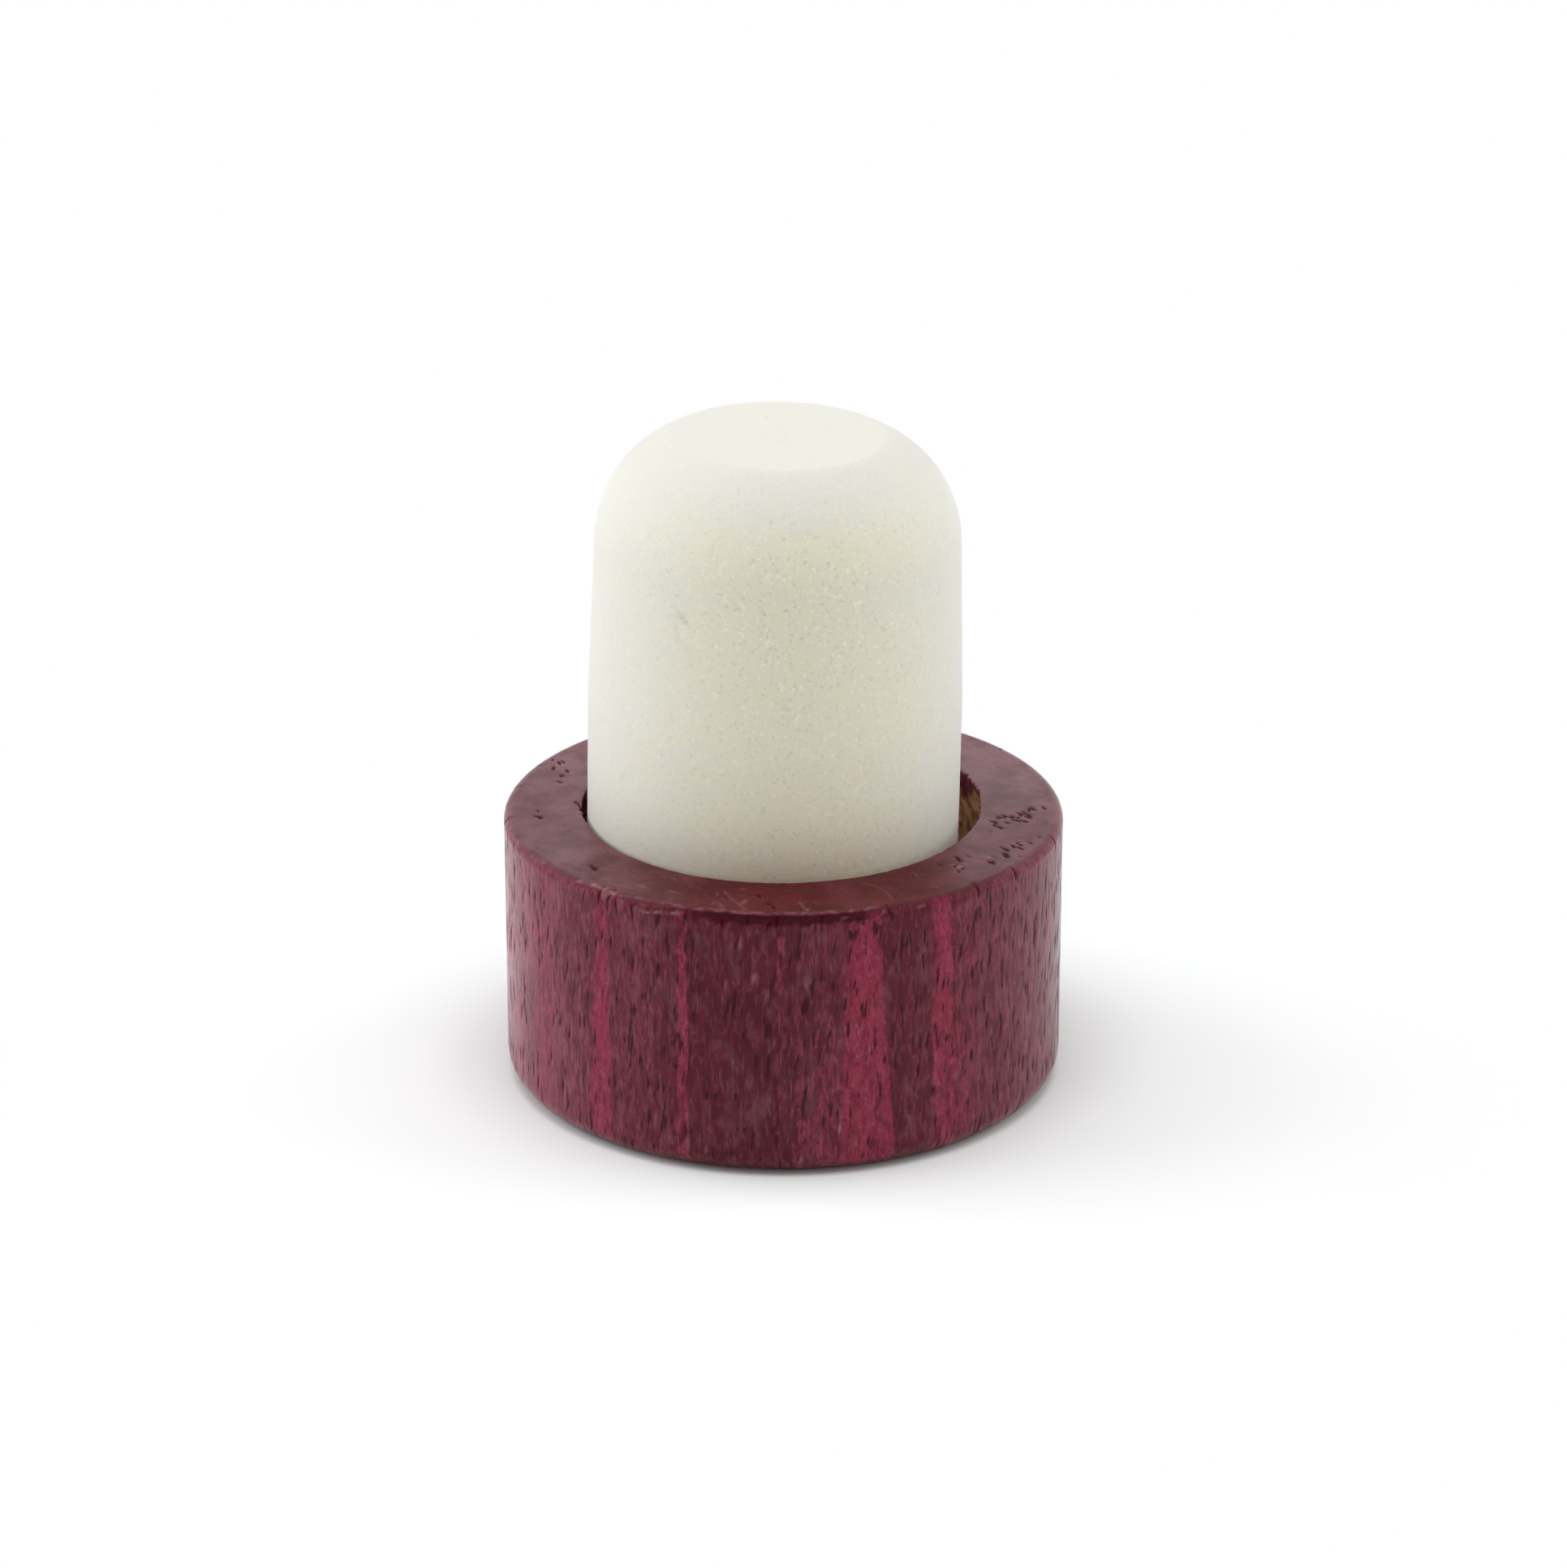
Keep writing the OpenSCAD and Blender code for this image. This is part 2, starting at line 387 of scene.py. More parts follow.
class Head:
    """The head's rows of points, with the direction, depth and fields of each."""

    def __init__(self):
        self.azimuth = np.arange(HEAD_COLUMNS) * 2 * math.pi / HEAD_COLUMNS
        self.degrees = np.degrees(self.azimuth)
        self.direction = np.stack([np.sin(self.azimuth), -np.cos(self.azimuth)], axis=-1)
        self.points = []
        self.facing = []
        self.zone = []
        self.add_outside()
        self.add_lip_face()
        self.add_recess()
        self.points = np.array(self.points)
        self.facing = np.array(self.facing)
        self.zone = np.array(self.zone)
        self.depth = np.zeros(self.points.shape[:2])
        self.fields = {name: np.zeros(self.depth.shape) for name in HEAD_FIELDS}

    def add_row(self, zone, flat, height, outward, upward):
        """One row of points. Outward and upward say which way the surface faces."""
        self.points.append(np.column_stack([flat, np.full(HEAD_COLUMNS, height)]))
        self.facing.append(np.column_stack([self.direction * outward, np.full(HEAD_COLUMNS, upward)]))
        self.zone.append(zone)

    def add_circle(self, zone, centre, radius, height, outward, upward):
        """A row of points at one radius from a centre, or a radius each."""
        flat = centre + self.direction * np.reshape(radius, (-1, 1))
        self.add_row(zone, flat, height, outward, upward)

    def add_rounding(self, zone, centre, radius, first, last, steps):
        angles = np.radians(np.linspace(first, last, steps))
        for angle, (reach, height) in zip(angles, arc(centre, radius, first, last, steps)):
            self.add_circle(zone, HEAD_AXIS, reach, height, math.cos(angle), math.sin(angle))

    def add_outside(self):
        for radius in BOTTOM_RADII:
            self.add_circle("bottom", HEAD_AXIS, radius, 0.0, 0.0, -1.0)
        edge_centre = (HEAD_R - OUTER_EDGE_R, OUTER_EDGE_R)
        self.add_rounding("edge", edge_centre, OUTER_EDGE_R, -90, 0, BOTTOM_ARC_STEPS)
        low = np.linspace(OUTER_EDGE_R, HEAD_H - FINE_TOP, LOW_SIDE_STEPS)[1:]
        high = np.linspace(HEAD_H - FINE_TOP, HEAD_H - LIP_EDGE_R, HIGH_SIDE_STEPS)[1:-1]
        for height in np.concatenate([low, high]):
            self.add_circle("side", HEAD_AXIS, HEAD_R, height, 1.0, 0.0)
        lip_centre = (HEAD_R - LIP_EDGE_R, HEAD_H - LIP_EDGE_R)
        self.add_rounding("lip", lip_centre, LIP_EDGE_R, 0, 90, LIP_ARC_STEPS)

    def add_lip_face(self):
        self.rim = rim_radius(self.azimuth)
        outer = self.direction * (HEAD_R - LIP_EDGE_R)
        inner = RECESS_CENTRE + self.direction * (self.rim + RIM_BEVEL)[:, None]
        for share in np.linspace(0, 1, RING_STEPS)[1:]:
            self.add_row("ring", outer * (1 - share) + inner * share, HEAD_H, 0.0, 1.0)

    def add_recess(self):
        for angle in np.radians([60, 30, 0]):
            radius = self.rim + RIM_BEVEL * (1 - math.cos(angle))
            height = HEAD_H - RIM_BEVEL * (1 - math.sin(angle))
            self.add_circle("rim", RECESS_CENTRE, radius, height, -math.cos(angle), math.sin(angle))
        for below in WALL_HEIGHTS:
            blend = min(1.0, below / RIM_FADE)
            radius = self.rim * (1 - blend) + RECESS_R * blend
            self.add_circle("wall", RECESS_CENTRE, radius, HEAD_H - below, -1.0, 0.0)
        for share in FLOOR_SHARES:
            self.add_circle("floor", RECESS_CENTRE, RECESS_R * share, RECESS_FLOOR, 0.0, 1.0)

    def apart(self, azimuth):
        return np.abs(turn_apart(self.degrees, azimuth))

    def rows_of(self, *zones):
        return np.flatnonzero(np.isin(self.zone, zones))

    def below_lip(self, rows):
        """How far each point of those rows lies below the lip face, in millimetres."""
        return (HEAD_H - self.points[rows][..., 2]) / MM

    def sink(self, rows, amount, columns=None):
        """Lowers whole rows, or some of their columns, to at least that depth."""
        here = rows if columns is None else np.ix_(rows, columns)
        self.depth[here] = np.maximum(self.depth[here], amount)

    def mark(self, field, rows, amount, columns=None):
        """Raises a field over whole rows, or some of their columns, to at least that amount."""
        here = rows if columns is None else np.ix_(rows, columns)
        values = self.fields[field]
        values[here] = np.maximum(values[here], amount)

    def finished_points(self):
        """The points, each lowered into the surface by its depth."""
        return self.points - self.facing * self.depth[..., None]


def mark_end_grain(head):
    """The flat faces show end grain, and the rounded edges turn from side grain to end grain."""
    head.fields["end_grain"][head.rows_of("ring", "bottom", "floor")] = 1.0
    arcs = head.rows_of("edge", "lip")
    head.fields["end_grain"][arcs] = ease(0.5, 1.0, np.abs(head.facing[arcs][..., 2]))


def pick_bands(rng):
    bands = list(BANDS)
    left = HIDDEN_FROM
    for _ in range(HIDDEN_BANDS):
        left += rng.uniform(8, 20)
        if left > HIDDEN_TO:
            break
        right = left + rng.choice([1.2, 2.0, 3.5, 6.0])
        lean = rng.uniform(-1.5, 1.5)
        strengths = [rng.uniform(0.25, 0.6) for _ in range(3)]
        softness = (rng.uniform(0.5, 3), rng.uniform(0.4, 1.5))
        bands.append(Band(left, left + lean, right, right + lean * 0.6, *softness, *strengths))
    return bands


def strength_of(band, share):
    ends = band.strength_top * share + band.strength_foot * (1 - share)
    at_middle = band.strength_middle - (band.strength_top + band.strength_foot) / 2
    return ends + at_middle * (4 * share * (1 - share))


def paint_bands(head, rng):
    """The pinker stripes, with wandering edges and a dark line beside each sharp right edge."""
    rows = head.rows_of("edge", "side", "lip")
    points = head.points[rows]
    share = np.clip(points[..., 2] / HEAD_H, 0, 1)
    wander = 0.9 * noise_at(along_grain(points, 0.35), 1.6 * MM, 5.0)
    wander += 0.7 * noise_at(along_grain(points, 0.5), 0.4 * MM, 11.0)
    total = dark = np.zeros(share.shape)
    for band in pick_bands(rng):
        left = band.left_top * share + band.left_foot * (1 - share)
        right = band.right_top * share + band.right_foot * (1 - share)
        strength = strength_of(band, share)
        across = turn_apart(head.degrees, (left + right) / 2)
        across += wander * min(1.0, band.left_soft + band.right_soft) * 0.5
        half = (right - left) / 2
        inside = ease(-half - band.left_soft, -half + band.left_soft * 0.4, across)
        inside *= ease(half + band.right_soft * 0.7, half - band.right_soft * 0.5, across)
        total = np.maximum(total, inside * strength)
        if band.right_soft < SHARP_EDGE:
            dark = np.maximum(dark, ease(1.6, 0.3, np.abs(across - half - 1.1)) * strength)
    head.fields["band"][rows] = total - 0.5 * dark * (total < 0.2)


def paint_thin_dye_and_sheen(head):
    """Thinner, paler dye on stretches and patches of the side, and round parts of the lip face, partly
    painted sheen where they turn away from the front.
    """
    rows = head.rows_of("edge", "side", "lip")
    points = head.points[rows]
    azimuths = turn_apart(head.degrees, 0)
    around = np.interp(azimuths, *zip(*DYE_THINNESS_AND_SHEEN))
    near_lip = 0.55 + 0.45 * ease(HEAD_H - 0.1 * MM, HEAD_H - 1.1 * MM, points[..., 2])
    thin_dye_and_sheen = around * near_lip * (1 + 0.6 * noise_at(along_grain(points, 0.35), 2.0 * MM, 17.0))
    for blotch in BLOTCHES:
        across = turn_apart(head.degrees, blotch.azimuth) / blotch.half_width
        up = (points[..., 2] / MM - blotch.height) / blotch.half_height
        thin_dye_and_sheen += blotch.strength * bell(across**2 + up**2)
    head.fields["thin_dye_and_sheen"][rows] = np.clip(thin_dye_and_sheen, 0, MOST_THINNESS_AND_SHEEN)
    ring = head.rows_of("ring")
    around = np.interp(azimuths, *zip(*RING_THINNESS_AND_SHEEN))
    head.fields["thin_dye_and_sheen"][ring] = np.clip(around + 0.2 * noise_at(head.points[ring], 2.5 * MM, 4.0), 0, 1)
    head.mark("thin_dye_and_sheen", head.rows_of("lip"), around)


def cut_fibre_grooves(head, rng):
    """Vessels that the turning cut lengthways: short upright grooves."""
    rows = head.rows_of("edge", "side", "lip")
    heights = head.points[rows, 0, 2]
    pitch = 360 / HEAD_COLUMNS
    for _ in range(FIBRE_GROOVES):
        azimuth = rng.uniform(0, 360)
        middle = rng.uniform(0.6, 14.4) * MM
        half_length = rng.uniform(0.3, 0.75) * MM
        half_width = rng.uniform(0.3, 0.5)
        strength = rng.uniform(0.2, 1.0)
        slant = rng.gauss(0, 0.3)
        near = rows[np.abs(heights - middle) < half_length]
        first = math.floor((azimuth - GROOVE_REACH) / pitch)
        columns = np.arange(first, first + math.ceil(2 * GROOVE_REACH / pitch) + 1)
        along = (head.points[near, 0, 2] - middle) / half_length
        across = columns * pitch - azimuth - slant * along[:, None]
        profile = np.clip(1 - (across / half_width) ** 2, 0, 1) * (1 - along**2)[:, None] * strength
        head.sink(near, profile * GROOVE_DEPTH, columns % HEAD_COLUMNS)
        head.mark("pore", near, profile, columns % HEAD_COLUMNS)


def pick_pores(rng):
    """Place, strength and half width of every pore, those in rows first."""
    pores = []
    for row in PORE_ROWS:
        for number in range(row.count):
            share = (number + rng.random()) / row.count
            middle = [a + (b - a) * share for a, b in zip(row.start, row.end)]
            x, y = [value + rng.uniform(-row.spread, row.spread) for value in middle]
            y += rng.uniform(-row.spread, row.spread)
            pores.append(((x, y), rng.uniform(0.75, 1.0), rng.uniform(0.075, 0.11)))
    for _ in range(LOOSE_PORES):
        turn = rng.uniform(0, 2 * math.pi)
        radius = rng.uniform(11, 14.2)
        place = (radius * math.cos(turn), radius * math.sin(turn))
        pores.append((place, rng.uniform(0.15, 0.6), LOOSE_PORE_HALF_WIDTH))
    return pores


def open_end_pores(head, rng):
    """Vessels cut across: short slanted pits on the lip face, mostly in rows."""
    rows = head.rows_of("ring")
    flat = head.points[rows, :, :2]
    for place, strength, half_width in pick_pores(rng):
        slant = rng.gauss(PORE_SLANT, PORE_SLANT_SPREAD)
        long_way = np.array([math.sin(slant), -math.cos(slant)])
        half_length = half_width * rng.uniform(2.2, 3.2) * MM
        along, across = along_and_across(flat, millimetres(*place), long_way)
        apart = (along / half_length) ** 2 + (across / (half_width * MM)) ** 2
        profile = np.exp(-(apart**1.5)) * strength
        head.sink(rows, profile * PORE_DEPTH * MM)
        head.mark("pore", rows, profile)


def scratch_lip_face(head):
    rows = head.rows_of("ring", "lip")
    flat = head.points[rows, :, :2]
    broken = 0.55 + 0.45 * noise_at(head.points[rows], 0.3 * MM, 41.0)
    for scratch in SCRATCHES:
        start, end = millimetres(*scratch.start), millimetres(*scratch.end)
        run = end - start
        length = np.hypot(*run)
        along, across = along_and_across(flat, start, run)
        share = along / length**2
        sideways = across / length - scratch.bow * MM * 4 * share * (1 - share)
        inside = ease(-0.05, 0.1, share) * ease(1.05, 0.9, share)
        line = bell(sideways / (SCRATCH_HALF_WIDTH * MM)) * inside * scratch.strength * broken
        head.mark("wear_and_highlight", rows, line)
        head.sink(rows, line * SCRATCH_DEPTH * MM)


def pick_flecks(rng):
    """The photo's flecks, and loose ones, more of them at the front left."""
    flecks = list(FLECKS)
    for _ in range(LOOSE_FLECKS):
        turn = math.radians(rng.choice([rng.uniform(-80, -10), rng.uniform(-180, 180)]))
        radius = rng.uniform(11.2, 14.1)
        place = (radius * math.sin(turn), -radius * math.cos(turn))
        size = (rng.uniform(0.12, 0.4), rng.uniform(0.05, 0.08))
        flecks.append(Fleck(place, *size, rng.gauss(-45, 35), rng.uniform(0.08, 0.2)))
    return flecks


def fleck_lip_face(head, rng):
    """Tiny pale flecks, where the lacquer has lifted or dust has stuck to it."""
    rows = head.rows_of("ring", "lip")
    flat = head.points[rows, :, :2] / MM
    for fleck in pick_flecks(rng):
        direction = math.radians(fleck.direction)
        long_way = np.array([math.cos(direction), math.sin(direction)])
        along, across = along_and_across(flat, np.array(fleck.place), long_way)
        apart = (along / fleck.half_length) ** 2 + (across / fleck.half_width) ** 2
        head.mark("wear_and_highlight", rows, np.exp(-apart) * fleck.strength)


def speck_side(head, rng):
    specks = list(SPECKS)
    for _ in range(LOOSE_SPECKS):
        size = (rng.uniform(0.04, 0.08), rng.uniform(0.06, 0.2))
        place = (rng.uniform(-180, 180), rng.uniform(0.8, 13.6))
        specks.append(Speck(*place, *size, rng.uniform(0.12, 0.4)))
    rows = head.rows_of("side", "edge")
    heights = head.points[rows][..., 2] / MM
    degree = math.radians(1) * HEAD_R / MM
    for speck in specks:
        across = turn_apart(head.degrees, speck.azimuth) * degree / max(speck.half_width, LEAST_SPECK[0])
        up = (heights - speck.height) / max(speck.half_height, LEAST_SPECK[1])
        head.mark("wear_and_highlight", rows, np.exp(-(across**2) - up**2) * speck.strength)


def pick_nick_lines(rng):
    lines = list(NICK_LINES)
    for _ in range(STRAY_NICKS):
        start = rng.uniform(60, 300)
        below = (rng.uniform(0.03, 0.4), rng.uniform(0.03, 0.4))
        azimuths = (start, start + rng.uniform(1, 6))
        lines.append(NickLine(azimuths, below, STRAY_HALF_HEIGHT, rng.uniform(0.2, 0.4)))
    return lines


def nick_lip_edge(head, rows, rng):
    below = head.below_lip(rows)
    drawn_out = along_grain(head.points[rows], 0.2)
    wobble = 0.035 * noise_at(drawn_out, 0.4 * MM, 31.0)
    broken = ease(-0.25, 0.3, noise_at(drawn_out, 0.28 * MM, 23.0))
    for line in pick_nick_lines(rng):
        along = turn_apart(head.degrees, line.azimuths[0])
        knots = np.array(line.azimuths) - line.azimuths[0]
        middle = np.interp(along, knots, line.below) + wobble
        inside = ease(-0.2, 0.3, along) * ease(0.2, -0.3, along - knots[-1])
        profile = bell((below - middle) / line.half_height) * inside * line.strength
        profile *= 0.25 + 0.75 * broken
        head.sink(rows, profile * NICK_DEPTH * MM)
        # Pale torn lacquer, and a painted highlight where a line runs along the very edge
        head.mark("wear_and_highlight", rows, profile)
        # The strongest lines get a thin painted shadow just above them
        if line.strength > DEEP_NICK:
            shadow_line = bell((below - middle + SHADOW_LINE_ABOVE) / SHADOW_LINE_HALF_HEIGHT)
            head.mark("dye_and_shade", rows, shadow_line * inside * line.strength)


def lift_flake(head, rows):
    """A small pointed flake of lacquer that has lifted, with painted shadow in the gap round it."""
    below = head.below_lip(rows)
    across = head.apart(FLAKE_AZIMUTH)
    half_width = FLAKE_HALF_WIDTH * np.clip(1 - (below - FLAKE_TOP) / FLAKE_LENGTH, 0, 1)
    flake = ease(0, FLAKE_GAP, half_width - across) * ease(0.02, FLAKE_TOP, below)
    gap = ease(0.5, 0.0, np.abs(across - half_width - FLAKE_GAP)) * ease(0.9, 0.7, below)
    head.depth[rows] += gap * FLAKE_GAP_DEPTH * MM - flake * FLAKE_RISE * MM
    head.mark("wear_and_highlight", rows, flake * 0.22)
    # Painted shadow in the gap round the flake
    head.mark("dye_and_shade", rows, gap * 0.5)


def wear_lip_edge(head, rng):
    rows = head.rows_of("lip", "side")
    top = rows[head.points[rows, 0, 2] > HEAD_H - FINE_TOP]
    nick_lip_edge(head, top, rng)
    lift_flake(head, top)


def paint_lip_groove_shade(head):
    """Painted shade, with some pooled dye, in a fine groove under the lip edge, heaviest at the front."""
    rows = head.rows_of("side", "lip")
    points = head.points[rows]
    below = head.below_lip(rows)
    drawn_out = along_grain(points, 0.3)
    ragged = 0.1 * noise_at(drawn_out, 0.6 * MM, 2.0) + 0.05 * noise_at(drawn_out, 0.2 * MM, 6.0)
    line = ease(0.02, 0.08, below + 0.3 * ragged) * ease(0.62, 0.44, below + 2.8 * ragged)
    front = ease(24, 13, head.apart(-0.5))
    patchy = np.clip(0.1 + 0.2 * noise_at(along_grain(points, 0), 2.5 * MM, 8.0), 0, 1)
    head.mark("dye_and_shade", rows, line * (front + (1 - front) * patchy))
    groove = ease(0.12, 0.3, below) * ease(0.66, 0.44, below)
    head.depth[rows] += groove * front * UNDER_LIP_GROOVE * (0.7 + 0.3 * noise_at(points, 0.8 * MM, 3.0))


def paint_recess(head):
    """Bare wood, because the recess was drilled after dyeing, with dye that has bled over the rim."""
    rows = head.rows_of("rim", "wall", "floor")
    points = head.points[rows]
    below = head.below_lip(rows)
    bleed = 0.35 + 0.25 * noise_at(along_grain(points, 0), 1.1 * MM, 4.0)
    bleed += STREAK_DEPTH * ease(13, 3, head.apart(STREAK_AZIMUTH))
    bleed += 0.35 * noise_at(along_grain(points, 0.5), 0.3 * MM, 14.0)
    bleed += DYED_WALL_DEPTH * ease(40, 26, head.apart(DYED_WALL_AZIMUTH))
    bare = ease(0, 0.35, below - bleed)
    head.fields["bare"][rows] = bare
    head.fields["thin_dye_and_sheen"][rows] = RECESS_THINNESS
    head.mark("dye_and_shade", rows, 0.2 * (1 - bare) * ease(0.02, 0.2, below))


def roughen(head):
    """Slow waves, fibres and lumps, a few hundredths of a millimetre deep at most."""
    side = np.isin(head.zone, ("side", "edge"))[:, None]
    ring = np.isin(head.zone, ("ring",))[:, None]
    head.depth += WAVE_DEPTH * raised_noise_at(head.points, 3.5 * MM, 1.0)
    fibres = raised_noise_at(along_grain(head.points, 0.1), 0.33 * MM, 6.0)
    lumps = raised_noise_at(along_grain(head.points, 0.45), 0.9 * MM, 16.0)
    head.depth += side * (FIBRE_DEPTH * fibres + LUMP_DEPTH * lumps)
    head.depth += ring * STIPPLE_DEPTH * raised_noise_at(head.points, 0.8 * MM, 12.0)


def build_head():
    rng = random.Random(42)
    head = Head()
    mark_end_grain(head)
    paint_bands(head, rng)
    paint_thin_dye_and_sheen(head)
    cut_fibre_grooves(head, rng)
    open_end_pores(head, rng)
    scratch_lip_face(head)
    fleck_lip_face(head, rng)
    speck_side(head, rng)
    wear_lip_edge(head, rng)
    paint_lip_groove_shade(head)
    paint_recess(head)
    roughen(head)
    high_pole = (*RECESS_CENTRE, RECESS_FLOOR)
    return make_object("dyed_head", head.finished_points(), (0.0, 0.0, 0.0), high_pole, head.fields)


# ---- the shank

SHANK_COLUMNS = 400
BURIED_STEPS = 7
STRAIGHT_STEPS = 38
TAPER_STEPS = 44
TIP_STEPS = 40
FACE_STEPS = 24
CREASE = 0.3 * MM

SHANK_LUMPS = 0.02 * MM
SHANK_GRAIN = 0.012 * MM
SHANK_PITS = 900
PIT_DEPTH = 0.03 * MM
SCUFF_DEPTH = 0.05 * MM

# The middle of the end face is lower by this
END_DISH = 0.02 * MM

# A faint grey mark on the shank: azimuth and lean from upright in degrees, the others in millimetres
Scuff = namedtuple("Scuff", "azimuth height lean half_length half_width strength")
SCUFFS = [Scuff(*row) for row in [
    (-30.0, 28.1, -46, 0.5, 0.1, 1.0), (-32.4, 27.5, 10, 0.22, 0.12, 0.45),
    (-28.2, 26.5, -55, 0.35, 0.08, 0.5), (-31.4, 26.9, 0, 0.25, 0.18, 0.3),
    (-33.5, 28.8, -30, 0.3, 0.16, 0.3),
]]


def upright_points(low, high, steps):
    return np.array([[SHANK_R, height] for height in np.linspace(low, high, steps)])


def shank_profile():
    """Points [radius, height] up the side and over the tip, with zero height in the lip face's plane."""
    along = np.array([-math.sin(TAPER_ANGLE), math.cos(TAPER_ANGLE)])
    across = np.array([math.cos(TAPER_ANGLE), math.sin(TAPER_ANGLE)])
    taper_start = np.array([SHANK_R, STRAIGHT_REACH])
    line_start = taper_start - TIP_ROUND_R * across
    end_rim = np.array([END_FACE_R, SHANK_REACH])
    rim_along = (end_rim - line_start) @ along
    rim_across = (end_rim - line_start) @ across
    taper_length = rim_along - math.sqrt(TIP_ROUND_R**2 - rim_across**2)
    tip_centre = line_start + taper_length * along
    rim_angle = math.degrees(math.atan2(*(end_rim - tip_centre)[::-1]))
    crease_angle = math.degrees(CREASE / TIP_ROUND_R)

    buried = upright_points(-SHANK_BURIED, -0.6 * MM, BURIED_STEPS)
    straight = upright_points(-0.4 * MM, STRAIGHT_REACH, STRAIGHT_STEPS)
    taper = taper_start + np.linspace(0, 1, TAPER_STEPS)[1:, None] * taper_length * along
    tip_ends = (math.degrees(TAPER_ANGLE), rim_angle - crease_angle)
    rounding = arc(tip_centre, TIP_ROUND_R, *tip_ends, TIP_STEPS)[1:]
    inner_radii = np.linspace(END_FACE_R - 2 * CREASE, 0.25 * MM, FACE_STEPS)
    face_radii = np.concatenate([[END_FACE_R, END_FACE_R - CREASE], inner_radii])
    face = np.stack([face_radii, np.full(face_radii.size, SHANK_REACH)], axis=1)
    return np.concatenate([buried, straight, taper, rounding, face])


def outward(profile):
    """Which way the surface faces at each point of a profile, as [outward, upward]."""
    slope = np.gradient(profile, axis=0)
    slope = slope / np.hypot(slope[:, 0], slope[:, 1])[:, None]
    return np.stack([slope[:, 1], -slope[:, 0]], axis=1)


def turned(profile, direction):
    """Rows of points from a profile turned round the axis."""
    flat = profile[:, 0][:, None, None] * direction[None]
    heights = np.broadcast_to(profile[:, 1][:, None], flat.shape[:2])
    return np.concatenate([flat, heights[..., None]], axis=-1)


def place_shank(local):
    """Takes points from the shank's own axes to where it is glued."""
    side_axis = np.array([LEAN_COS, 0.0, -LEAN_SIN])
    back_axis = np.array([0.0, 1.0, 0.0])
    return np.array(SHANK_FOOT) + local @ np.stack([side_axis, back_axis, np.array(SHANK_AXIS)])


def pit_foam(shape, rng):
    """How deep an open bubble of the foam is at each point, from 0 to 1."""
    pits = np.zeros(shape)
    for _ in range(SHANK_PITS):
        row = rng.randrange(BURIED_STEPS + 1, shape[0])
        column = rng.randrange(SHANK_COLUMNS)
        pits[row, column] = max(pits[row, column], rng.uniform(0.2, 1.0))
    return pits


def scuff_foam(heights, degrees):
    scuff = np.zeros(heights.shape)
    for mark in SCUFFS:
        across = turn_apart(degrees, mark.azimuth) * math.radians(1) * SHANK_R / MM
        up = (heights + HEAD_H) / MM - mark.height
        lean = math.radians(mark.lean)
        lengthways = (up * math.cos(lean) + across * math.sin(lean)) / mark.half_length
        sideways = (across * math.cos(lean) - up * math.sin(lean)) / mark.half_width
        scuff = np.maximum(scuff, np.exp(-(lengthways**2) - sideways**2) * mark.strength)
    return scuff


def paint_front_shade_and_grain(local, heights, degrees):
    """Painted warm shade and graininess, most at the front and less at the back; the shade fades out near
    the top and is broken by random mottle.
    """
    reach = heights / SHANK_REACH
    front = bell(turn_apart(degrees, 8) / 52)
    behind = 0.5 * bell(turn_apart(degrees, 170) / 70)
    around = np.maximum(front, behind)
    warm_shade = around * ease(0.98, 0.82, reach) + 0.22 * noise_at(local, 4.0 * MM, 21.0)
    upper = bell(turn_apart(degrees, 12) / 32) * bell((reach - 0.66) / 0.2)
    grainy = (0.3 + 0.7 * around * ease(1.0, 0.8, reach) + 0.5 * upper) / 1.5
    return np.clip(warm_shade, 0, 1), grainy


def build_shank():
    rng = random.Random(7)
    profile = shank_profile()
    turn = np.arange(SHANK_COLUMNS) * 2 * math.pi / SHANK_COLUMNS
    degrees = np.degrees(turn)
    direction = np.stack([np.sin(turn), -np.cos(turn)], axis=-1)
    smooth = turned(profile, direction)
    heights = smooth[..., 2]

    lumps = SHANK_LUMPS * raised_noise_at(smooth, 4.5 * MM, 2.0)
    grain = SHANK_GRAIN * raised_noise_at(smooth, 0.42 * MM, 7.0)
    pits = pit_foam(heights.shape, rng)
    scuff = scuff_foam(heights, degrees)
    depth = lumps + grain + PIT_DEPTH * pits + SCUFF_DEPTH * scuff
    local = smooth - turned(outward(profile), direction) * depth[..., None]

    warm_shade, grainy = paint_front_shade_and_grain(local, heights, degrees)
    fields = {"pit": pits, "scuff": scuff, "warm_shade": warm_shade, "grainy": grainy}
    low_pole = place_shank(np.array([0, 0, -SHANK_BURIED]))
    high_pole = place_shank(np.array([0, 0, SHANK_REACH - END_DISH]))
    return make_object("foam_shank", place_shank(local), low_pole, high_pole, fields)


# ---- materials


def colour(code):
    """A hex sRGB colour as linear RGBA."""
    channels = [int(code[i:i + 2], 16) / 255 for i in (1, 3, 5)]
    linear = [c / 12.92 if c <= 0.04045 else ((c + 0.055) / 1.055) ** 2.4 for c in channels]
    return (*linear, 1.0)


